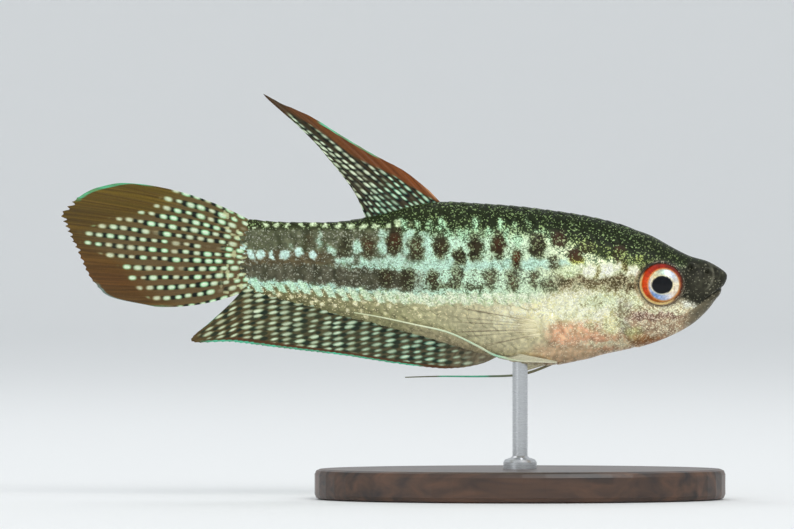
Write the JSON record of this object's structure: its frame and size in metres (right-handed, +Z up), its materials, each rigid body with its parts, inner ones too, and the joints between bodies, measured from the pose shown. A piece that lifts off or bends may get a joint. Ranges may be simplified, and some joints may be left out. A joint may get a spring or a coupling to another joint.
{
  "type": "still model of a sparkling gourami",
  "caption": "Life-size still model of a small labyrinth fish with spread fins and trailing pelvic rays, held level on a plain oval stand by one short rod.",
  "frame": {"origin": "centre of the underside of the stand's base", "axes": "+X towards the fish's snout, +Y to its left, +Z up"},
  "size_m": [0.044, 0.015, 0.0266],
  "materials": {
    "skin": "scaled skin, satin and faintly metallic",
    "eye": "clear gloss over a coloured iris",
    "fin": "thin ribbed membrane, half clear",
    "stand_wood": "dark stained, satin",
    "stand_steel": "brushed"
  },
  "bodies": {
    "root": {"head": "skin", "lower_jaw": "skin", "gill_cover_left": "skin", "gill_cover_right": "skin", "trunk": "skin", "tail_stalk": "skin", "eye_left": "eye", "eye_right": "eye", "dorsal_fin": "fin", "anal_fin": "fin", "caudal_fin": "fin", "pectoral_fin_left": "fin", "pectoral_fin_right": "fin", "pelvic_fin_left": "fin", "pelvic_fin_right": "fin", "stand_base": "stand_wood", "stand_rod": "stand_steel"}
  },
  "joints": []
}
